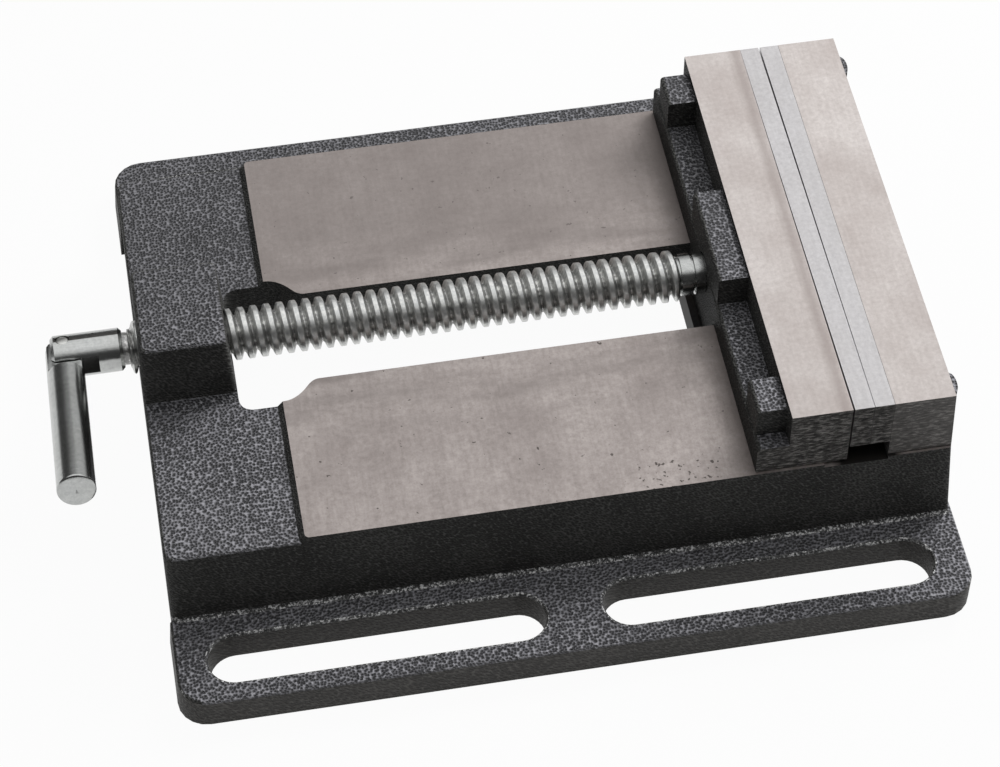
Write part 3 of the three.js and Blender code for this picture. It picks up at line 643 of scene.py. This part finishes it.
y = xyz(tree, object_spot(tree))[1]
# Painted shade: a slow darkening towards the far side.
tint(ways, fade(tree, y, 5 * MM, 40 * MM, most=0.58), SHADE_AND_RUBBED_BROWN)
near_edge = fade(tree, y, -60 * MM, -66 * MM)
by_edge = calc(tree, "MULTIPLY", near_edge, band(tree, JAW_START - 22, half=17.0, soft=5.0))
rust = calc(tree, "MULTIPLY", by_edge, squeezed_noise(tree, EVEN, scale=560, detail=3.0))
tint(ways, ramp(tree, rust, [(0.615, 0.0), (0.635, 0.85)]), SPECK_BROWN)
inner_half = fade(tree, calc(tree, "ABSOLUTE", y), 52 * MM, 18 * MM)
long_noise = squeezed_noise(tree, (0.2, 1.0, 1.0), scale=130, detail=5.0)
smears = ramp(tree, long_noise, [(0.42, 0.0), (0.66, 0.7)])
tint(ways, calc(tree, "MULTIPLY", inner_half, smears), SHADE_AND_RUBBED_BROWN)
print("marked:", ways.name, "nodes:", len(tree.nodes))

# %% [markdown]
# ### The thread's steel
# The thread is darker at its root than on its crests: partly grease in the grooves and partly painted
# shade there. Lighter specks on it are painted highlights. The distance from the screw's axis tells
# root and crest apart. A Mapping node first brings the axis to the height of zero, and the distance
# is then the length of what is left without x.

# %% Thread steel
ROOT_SHADE_RADIUS, BRIGHT_RADIUS = 5.7, 7.9
thread_steel, tree, shader = principled("rolled_thread_steel", 1.0, 0.4)
centred = add(tree, "ShaderNodeMapping", [(object_spot(tree), "Vector")],
              in_Location=(0, 0, -SCREW_Z * MM))
sideways = add(tree, "ShaderNodeVectorMath", [(centred.outputs[0], 0)], operation="MULTIPLY",
               in_1=(0.0, 1.0, 1.0))
distance = add(tree, "ShaderNodeVectorMath", [(sideways.outputs[0], 0)], operation="LENGTH")
depth = fade(tree, distance.outputs["Value"], ROOT_SHADE_RADIUS * MM, BRIGHT_RADIUS * MM)
# Painted shade towards the root of the thread, partly grease there.
root_shade_tone = ramp(tree, depth, [(0.0, (0.34, 0.34, 0.335)), (0.9, (0.61, 0.62, 0.61))])
specks = noise(tree, centred.outputs[0], scale=900, detail=3.0)
# Lighter specks that stand for painted highlights on the steel.
highlight_specks = ramp(tree, specks, [(0.45, 0.0), (0.62, 1.0)])
thread_color = blend_colors(tree, highlight_specks, root_shade_tone, (0.77, 0.77, 0.75))
tree.links.new(thread_color, shader.inputs["Base Color"])
roughen(tree, shader, specks, distance=0.00008, strength=0.5)
print("materials:", len(bpy.data.materials))

# %% [markdown]
# ## Round pieces
# The screw and its handle were turned on a lathe. Each can be seen as a radius that depends on the
# place along the axis and on the angle round it, so one function fills a grid of points, and the
# same small helper makes any of them into a closed mesh.


# %% Helpers for round pieces
def put_mesh(name, points, quads, triangles, body, finish, sharp=40):
    """A mesh object from arrays, in metres, shaded smooth up to an angle, riding on a body."""
    mesh = bpy.data.meshes.new(name)
    mesh.from_pydata(points.tolist(), [], quads.tolist() + triangles.tolist())
    mesh.materials.append(finish)
    mesh.shade_smooth()
    mesh.set_sharp_from_angle(angle=np.radians(sharp))
    piece = bpy.data.objects.new(name, mesh)
    bpy.context.scene.collection.objects.link(piece)
    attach(piece, body)
    return piece


def angles_round(columns):
    """Evenly spaced angles of one full turn, the first of them 0."""
    return 2 * np.pi * np.arange(columns) / columns


def round_piece(name, origin, axes, along, radius, body, finish, sharp=40):
    """A closed skin round an axis. Row i lies along[i] from the origin, and radius[i, k] is its
    distance from the axis at angle k. A point is origin + along * axis + radius * (cos a + sin b)."""
    a, b, axis = (np.asarray(v, float) for v in axes)
    rows, columns = radius.shape
    angle = angles_round(columns)
    spoke = np.cos(angle)[:, None] * a + np.sin(angle)[:, None] * b
    middle = np.asarray(origin, float) + np.asarray(along)[:, None] * axis
    skin = (middle[:, None, :] + radius[:, :, None] * spoke[None]).reshape(-1, 3)
    points = np.vstack([skin, middle[:1], middle[-1:]]) * MM
    i, k = np.meshgrid(np.arange(rows - 1), np.arange(columns), indexing="ij")
    j = (k + 1) % columns
    this_row, next_row = i * columns, (i + 1) * columns
    quads = np.stack([this_row + k, this_row + j, next_row + j, next_row + k], -1)
    k, j = np.arange(columns), (np.arange(columns) + 1) % columns
    first_hub, last_hub = np.full(columns, rows * columns), np.full(columns, rows * columns + 1)
    end = (rows - 1) * columns
    caps = np.vstack([np.stack([first_hub, j, k], -1), np.stack([last_hub, end + k, end + j], -1)])
    return put_mesh(name, points, quads.reshape(-1, 4), caps, body, finish, sharp)


# %% [markdown]
# ### The screw
# A trapezoidal thread, 16 mm by 4 mm, with rolled and slightly rounded crests. It could be one
# profile carried along a helix, but then the ends and the plain shaft would have to be joined on.
# Here the whole screw is one grid. The height of the thread depends on one number, the place along
# the screw less the turn, counted in pitches, and it fades out where the thread ends.

# %% Thread
THREAD_START, THREAD_END = BODY - 2.8, JAW_START - 7.6
PITCH, ROOT, CREST = 4.0, 5.75, 8.0
RISE_FROM, RISE_OVER, FALL_FROM, FALL_OVER = 0.06, 0.32, 0.72, 0.28
RUN_IN, RUN_OUT = 1.0, 1.5


def thread_rise(x, angle):
    """0 at the root and 1 at the crest. The share is how far a point is through its pitch: the
    place less the turn, in pitches. The rise climbs and falls evenly over two stretches of it and
    is flat between them. It fades out over 1 mm at the start and 1.5 mm at the end of the thread.
    The last line softens the corners of both: a value v becomes v * v * (3 - 2 v)."""
    share = ((x - THREAD_START) / PITCH - angle / (2 * np.pi)) % 1.0
    rise = np.clip((share - RISE_FROM) / RISE_OVER, 0, 1) - np.clip((share - FALL_FROM) / FALL_OVER, 0, 1)
    whole = np.clip((x - THREAD_START) / RUN_IN, 0, 1) * np.clip((THREAD_END - x) / RUN_OUT, 0, 1)
    return rise**2 * (3 - 2 * rise) * whole**2 * (3 - 2 * whole)


SCREW_COLUMNS, ROW_STEP = 60, 0.2
thread_x = np.arange(THREAD_START, THREAD_END, ROW_STEP)
angle = angles_round(SCREW_COLUMNS)
threaded = ROOT + (CREST - ROOT) * thread_rise(thread_x[:, None], angle[None, :])
print("thread rows:", len(thread_x))

# %% [markdown]
# ### The screw's plain ends
# Towards the handle a thin neck runs into the fork. Towards the jaw comes a plain shaft with a
# narrow turned groove, then the journal that turns in the moving jaw, with the deep groove that two
# pins stand in to pull the jaw back. Each end is a list of places and radii.

# %% Screw
NECK, SHAFT, GROOVE, JOURNAL, PIN_GROOVE = 5.0, 6.5, 5.5, 6.1, 4.4
groove_x, journal_x = JAW_START - 3.6, JAW_START - 0.3
neck = np.array([(BODY - 5.2, NECK), (THREAD_START - 0.01, NECK)])
plain = np.array([
    (THREAD_END, ROOT), (THREAD_END + 0.15, SHAFT),
    (groove_x - 0.45, SHAFT), (groove_x - 0.3, GROOVE),
    (groove_x + 0.3, GROOVE), (groove_x + 0.45, SHAFT),
    (journal_x, SHAFT), (journal_x, JOURNAL),
    (SCREW_END - 7.3, JOURNAL), (SCREW_END - 7.3, PIN_GROOVE),
    (SCREW_END - 2.7, PIN_GROOVE), (SCREW_END - 2.7, JOURNAL),
    (SCREW_END - 1.0, JOURNAL), (SCREW_END, 5.1),
])
rings = [np.repeat(part[:, 1:], SCREW_COLUMNS, 1) for part in (neck, plain)]
along_screw = ((0, 1, 0), (0, 0, 1), SCREW_AXIS)
screw = round_piece("screw_thread", (0, 0, SCREW_Z), along_screw,
                    np.concatenate([neck[:, 0], thread_x, plain[:, 0]]),
                    np.vstack([rings[0], threaded, rings[1]]), "screw", thread_steel, 50)
screw.data.materials.append(bright_steel)
centres = np.empty(3 * len(screw.data.polygons), np.float32)
screw.data.polygons.foreach_get("center", centres)
is_plain = centres[::3] / MM > THREAD_END - 1
screw.data.polygons.foreach_set("material_index", is_plain.astype(np.int32))
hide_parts("screw_spindle")
print("screw faces:", len(screw.data.polygons))

# %% [markdown]
# ### The fork
# The outer end of the screw is a short bar with a slot for the handle's tongue and a cross hole for
# the pin. A slot cut square across a round bar has edges that no simple grid follows, so a turned
# bar is made first, and then the two cuts are taken out of it. A fine bevel breaks the edges.


# %% Helpers for the fork
def cut_out(piece, cutters):
    """Takes the cutters out of the piece and keeps the result as its mesh."""
    for cutter in cutters:
        change = piece.modifiers.new("cut", "BOOLEAN")
        change.operation, change.object, change.solver = "DIFFERENCE", cutter, "EXACT"
    bpy.context.view_layer.update()
    result = bpy.data.meshes.new_from_object(piece.evaluated_get(bpy.context.evaluated_depsgraph_get()))
    piece.modifiers.clear()
    piece.data = result
    for cutter in cutters:
        bpy.data.objects.remove(cutter)


def turned(name, origin, axes, profile, body, finish, columns=64, sharp=40):
    """A lathe-turned piece: the profile is pairs of place along the axis and radius."""
    profile = np.asarray(profile, float)
    radius = np.repeat(profile[:, 1:], columns, 1)
    return round_piece(name, origin, axes, profile[:, 0], radius, body, finish, sharp)


def slot_block(start, end, half_width, half_height):
    """A plain box for a cut, along the screw and square to the handle's pin. A corner is the middle
    of the screw, plus or minus each half size along its own axis."""
    corners = np.array([[x, w, h] for x in (start, end) for w in (-half_width, half_width)
                        for h in (-half_height, half_height)])
    axes = np.array([SCREW_AXIS, -ROD_AXIS, PIN_AXIS])
    points = (corners[:, :1] * axes[0] + corners[:, 1:2] * axes[1] + corners[:, 2:] * axes[2]
              + (0, 0, SCREW_Z)) * MM
    faces = [(0, 1, 3, 2), (4, 6, 7, 5), (0, 4, 5, 1), (2, 3, 7, 6), (0, 2, 6, 4), (1, 5, 7, 3)]
    mesh = bpy.data.meshes.new("slot")
    mesh.from_pydata(points.tolist(), [], faces)
    block = bpy.data.objects.new("slot", mesh)
    bpy.context.scene.collection.objects.link(block)
    return block


def bevel_edges(piece, width):
    """A narrow bevel in two steps on every edge of more than 40 degrees."""
    edge = piece.modifiers.new("broken_edges", "BEVEL")
    edge.width, edge.segments = width * MM, 2
    edge.limit_method, edge.angle_limit = "ANGLE", np.radians(40)


# %% Fork
FORK_LENGTH, FORK_RADIUS, FORK_CHAMFER = 21.5, 6.6, 1.0
SLOT_DEPTH, SLOT_HALF, HOLE_RADIUS = 14, 3.0, 2.15
fork_start, fork_end = SCREW_START, SCREW_START + FORK_LENGTH
fork = turned("screw_fork", (0, 0, SCREW_Z), along_screw,
              [(fork_start, FORK_RADIUS - FORK_CHAMFER), (fork_start + FORK_CHAMFER, FORK_RADIUS),
               (fork_end - FORK_CHAMFER, FORK_RADIUS), (fork_end, FORK_RADIUS - FORK_CHAMFER)],
              "screw", bright_steel, 96)
through_pin = (SCREW_AXIS, -ROD_AXIS, PIN_AXIS)
hole = turned("hole", PIN, through_pin, [(-9, HOLE_RADIUS), (9, HOLE_RADIUS)], "screw", bright_steel, 48)
cut_out(fork, [slot_block(fork_start - 3, fork_start + SLOT_DEPTH, 9, SLOT_HALF), hole])
fork.data.set_sharp_from_angle(angle=np.radians(30))
# The faces inside the slot take the darker steel, as painted shade.
fork.data.materials.append(slot_shade_steel)
in_slot = [abs(f.normal.dot(Vector(PIN_AXIS))) > 0.99 for f in fork.data.polygons]
fork.data.polygons.foreach_set("material_index", np.array(in_slot, np.int32))
bevel_edges(fork, 0.2)
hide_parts("screw_spindle")
print("fork faces:", len(fork.data.polygons))

# %% [markdown]
# ### The handle and its pin
# The rod's end is flattened to a tongue that turns in the fork. Seen along the rod, each section is
# a circle cut off by two flat faces, and near the tip also by the rounded end. It could be cut out
# of a bar like the fork, but here the radius is simply the smallest of the three distances, so one
# grid is enough, and the shoulder where the bar is round again is the larger of two.

# %% Handle
ROD, TONGUE = 5.68, 2.7
SHOULDER, SHOULDER_RADIUS = 8.8, 4.5
ROD_COLUMNS = 96
flat_places = [-ROD, -5.6, -5.4, -5.0, -4.4, -3.6, -2.6, -1.4, 0.0, SHOULDER]
round_places = [SHOULDER, 9.4, 10.0, 10.05, 62.2, 62.5]
t = np.array(flat_places + round_places)
is_round = np.arange(len(t)) >= len(flat_places)
angle = angles_round(ROD_COLUMNS) + 1e-9  # no angle is exactly 0, where the next line divides
flat = TONGUE / np.abs(np.sin(angle))
tip = np.sqrt(np.maximum(ROD**2 - np.minimum(t, 0) ** 2, 1e-4))
tongue = np.minimum(np.minimum(ROD, flat)[None, :], tip[:, None] / np.abs(np.cos(angle))[None, :])
shoulder = np.where(is_round, np.minimum(ROD, SHOULDER_RADIUS + (t - SHOULDER)), 0)
section = np.maximum(tongue, shoulder[:, None])
end_rows = np.array([(62.75, 5.55), (63, 5.1), (63, 0.8), (62.6, 0.05)])
rod = round_piece("handle_bar", PIN, (SCREW_AXIS, PIN_AXIS, ROD_AXIS),
                  np.concatenate([t, end_rows[:, 0]]),
                  np.vstack([section, np.repeat(end_rows[:, 1:], ROD_COLUMNS, 1)]),
                  "handle", bright_steel, 30)
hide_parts("handle_rod")
print("rod rows:", len(t) + len(end_rows))

# %% Pin
PIN_RADIUS, PIN_HALF, DOME_RISE = 2.0, 6.0, 0.4
quarter = np.linspace(0, np.pi / 2, 5)
dome = np.maximum(PIN_RADIUS * np.sin(quarter), 0.02)
rise = DOME_RISE * np.cos(quarter)
profile = np.vstack([np.column_stack([-PIN_HALF - rise, dome]),
                     np.column_stack([PIN_HALF + rise[::-1], dome[::-1]])])
pin = turned("pin_domed", PIN, through_pin, profile, "screw", zinc, 40, 60)
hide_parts("handle_pin")
print("pin faces:", len(pin.data.polygons))

# %% [markdown]
# ## Castings
# The base and the moving jaw are painted all over, and then machined where something slides or
# grips. They could be split into one piece for each finish, but a casting is one piece of iron. So
# one mesh carries several finishes, and each face's place and direction tell which one it has. The
# heights are above the table: the flange's top is at 10.7, the ways at 39.2 and the jaws' top at 63.


# %% Finish by place
def face_facts(mesh):
    """Centres in millimetres and normals of a mesh's faces, as arrays."""
    count = len(mesh.polygons)
    centres = np.empty(count * 3, np.float32)
    normals = np.empty(count * 3, np.float32)
    mesh.polygons.foreach_get("center", centres)
    mesh.polygons.foreach_get("normal", normals)
    return centres.reshape(-1, 3) / MM, normals.reshape(-1, 3)


def between(values, low, high):
    """True where a value lies between the two limits."""
    return (values > low) & (values < high)


def finish_casting(obj):
    """Paint, with bare milled ways, jaw tops and jaw ends. A face takes the last rule it meets."""
    finishes = (paint, ways, jaw_top, jaw_end, side_shade_paint, flange_shade_paint, bead_highlight_paint, deep_shade_paint)
    obj.data.materials.clear()
    for material in finishes:
        obj.data.materials.append(material)
    centres, normals = face_facts(obj.data)
    x, y, z = centres.T
    nx, ny, nz = normals.T
    half_y = np.abs(y)
    steep, upward = nz < 0.45, nz > 0.95
    # Faces that lean to the far side or to the handle get the upright faces' paint, with its painted
    # shade, even where they aren't steep.
    turned_away = (nz < 0.985) & ((ny > 0.15) | (nx < -0.15))
    # The hollow at the foot of the near wall, where the beads sit and get painted highlights.
    near_foot = between(z, 10.6, 12.4) & (y < 0) & between(nz, 0.45, 0.97)
    # What looks to the handle low down on the moving jaw, and on the fixed jaw behind it, gets painted
    # deep shade.
    jaw_foot = (nx < -0.9) & (x > JAW_START - 30) & (z < 49) & (half_y < 74)
    # The rounded edge of the painted end keeps its top's paint, without the painted shade of the upright
    # faces.
    end_edge = between(z, 37.0, 39.6) & (x < BODY + 29) & (nz > 0.3) & (ny < 0.15)
    # The rounded rims of the slots on the side that looks to the camera get painted highlights.
    slot_rim = between(z, 9.8, 10.69) & (ny < -0.3) & (nz > 0.2) & (half_y < 104)
    way_top = upward & between(z, 38.0, 39.6) & (x > BODY + 40)
    side_end = (np.abs(ny) > 0.95) & between(half_y, HALF_JAW - 0.5, HALF_JAW + 0.3) & (z > 39)
    rules = (
        (steep | turned_away, side_shade_paint),
        (steep & (z < FLANGE_TOP + 0.1), flange_shade_paint),
        (near_foot, bead_highlight_paint),
        (jaw_foot, deep_shade_paint),
        (end_edge, paint),
        (slot_rim, bead_highlight_paint),
        (way_top, ways),
        (upward & (z > 62.4), jaw_top),
        (side_end, jaw_end),
    )
    index = np.zeros(len(z), np.int32)
    for where, finish in rules:
        index[where] = finishes.index(finish)
    obj.data.polygons.foreach_set("material_index", index)
    obj.data.update()


# %% [markdown]
# ### Softer edges
# A casting has no sharp corner, and the light that an edge catches is much of what makes iron look
# like iron. The engineering parts are left as they are. A copy of each casting gets its loose
# triangles joined, and then only the edges that show are rounded: the rims of the clamping slots,
# and the ledges of the moving jaw. The large flat faces keep a flat shading.


# %% Helpers for the castings
def merged_copy(node_name, name, body):
    """A copy of a part with its loose triangles joined and flat areas made whole, to be refined."""
    mesh = nodes[node_name].data.copy()
    work = bmesh.new()
    work.from_mesh(mesh)
    bmesh.ops.remove_doubles(work, verts=work.verts, dist=1e-6)
    bmesh.ops.dissolve_limit(work, angle_limit=np.radians(0.5), verts=work.verts, edges=work.edges)
    work.to_mesh(mesh)
    work.free()
    mesh.name = name
    copy = bpy.data.objects.new(name, mesh)
    bpy.context.scene.collection.objects.link(copy)
    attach(copy, body)
    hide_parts(node_name)
    return copy


def break_edges(piece, chosen, width, segments=3):
    """Rounds the edges for which chosen(middles, directions, normals a and b) is true."""
    work = bmesh.new()
    work.from_mesh(piece.data)
    edges = [e for e in work.edges if len(e.link_faces) == 2 and e.is_convex]
    middle = np.array([(e.verts[0].co + e.verts[1].co) / 2 for e in edges]) / MM
    run = np.array([e.verts[1].co - e.verts[0].co for e in edges]) / MM
    side_a = np.array([e.link_faces[0].normal for e in edges])
    side_b = np.array([e.link_faces[1].normal for e in edges])
    keep = chosen(middle, run, side_a, side_b)
    bmesh.ops.bevel(work, geom=[e for e, yes in zip(edges, keep) if yes], offset=width * MM,
                    segments=segments, profile=0.5, affect="EDGES", clamp_overlap=True)
    work.to_mesh(piece.data)
    work.free()
    return int(keep.sum())


def keep_flats_flat(piece, large=30.0, bend=32):
    """Splits the shading round every large flat face, and at every edge sharper than the bend."""
    work = bmesh.new()
    work.from_mesh(piece.data)
    for e in work.edges:
        big = any(f.calc_area() > large * MM**2 for f in e.link_faces)
        e.smooth = bool(e.calc_face_angle(0) < np.radians(2 if big else bend))
    work.to_mesh(piece.data)
    work.free()


# %% Castings
SLOT_ROW, SLOT_REACH = 94, 11


def slot_rims(middle, run, a, b):
    """The upper edges of the clamping slots: one side looks up and the other is a slot wall."""
    flat = np.maximum(a[:, 2], b[:, 2]) > 0.95
    wall = np.minimum(np.abs(a[:, 2]), np.abs(b[:, 2])) < 0.1
    on_flange = np.abs(middle[:, 2] - FLANGE_TOP) < 0.1
    return flat & wall & on_flange & (np.abs(np.abs(middle[:, 1]) - SLOT_ROW) < SLOT_REACH)


def cast_corners(middle, run, a, b):
    """The lengthwise edges of the moving jaw's ledge, ribs and block, below the machined top."""
    flat = np.maximum(a[:, 2], b[:, 2]) > 0.95
    side = np.maximum(np.abs(a[:, 1]), np.abs(b[:, 1])) > 0.95
    return flat & side & between(middle[:, 2], 49, 62) & (np.abs(run[:, 0]) > 2)


base = merged_copy("base_casting", "cast_base", "base")
jaw = merged_copy("moving_jaw_casting", "cast_moving_jaw", "moving_jaw")
print("slot rims rounded:", break_edges(base, slot_rims, 0.8))
print("jaw corners rounded:", break_edges(jaw, cast_corners, 1.2))
for casting in (base, jaw):
    casting.data.shade_smooth()
    keep_flats_flat(casting)
    finish_casting(casting)
    print(casting.name, "faces:", len(casting.data.polygons))

# %% [markdown]
# ## Jaw plates
# Two ground steel plates are screwed to the jaws. The moving one does not sit quite square: at its
# near end it stands off its jaw, and at its far end it leaves a thin gap to the other plate. Turning
# it would move its ends too, so each of its points is shifted along the screw instead. The ends of
# the plates were sawn and left rough, like the ends of the jaws.


# %% Jaw plates
def seat_plate(piece, near_shift, far_shift):
    """Moves the plate's points along the screw, by an amount that changes evenly across the jaw."""
    co = np.empty(len(piece.data.vertices) * 3, np.float32)
    piece.data.vertices.foreach_get("co", co)
    co = co.reshape(-1, 3)
    share = (co[:, 1] / MM + HALF_JAW) / (2 * HALF_JAW)
    co[:, 0] += (near_shift + (far_shift - near_shift) * share) * MM
    piece.data.vertices.foreach_set("co", co.ravel())


def jaw_plate(node_name, name, body, near_shift, far_shift):
    """A ground plate with rough ends and finely broken edges, in its seat on the jaw."""
    piece = merged_copy(node_name, name, body)
    piece.data.materials.clear()
    piece.data.materials.append(plate)
    piece.data.materials.append(jaw_end)
    normals = face_facts(piece.data)[1]
    is_end = np.abs(normals[:, 1]) > 0.95
    piece.data.polygons.foreach_set("material_index", is_end.astype(np.int32))
    bevel_edges(piece, 0.12)
    seat_plate(piece, near_shift, far_shift)
    print(name, "faces:", len(piece.data.polygons))


jaw_plate("moving_jaw_plate", "plate_moving", "moving_jaw", near_shift=0.3, far_shift=-0.14)
jaw_plate("fixed_jaw_plate", "plate_fixed", "base", near_shift=0.12, far_shift=0.12)

# %% [markdown]
# ## The smaller parts
# Screws, washers, bolts and the keeper plate keep the shape they have in the frame, because the
# engineering model already shows all of it. They only need their finish: blackened steel for the
# plate screws, the lock washers and the keeper, and zinc plate for the rest.


# %% Smaller parts
def finish_of(name):
    """The finish of a part that keeps its shape, by its name."""
    if name.endswith("jaw_plate"):
        return plate
    if "plate_screw" in name or "lock" in name or name == "keeper_plate":
        return black
    return zinc


for name, node in nodes.items():
    if name not in ("base_casting", "moving_jaw_casting"):
        node.data.materials.clear()
        node.data.materials.append(finish_of(name))
print("finishes given")
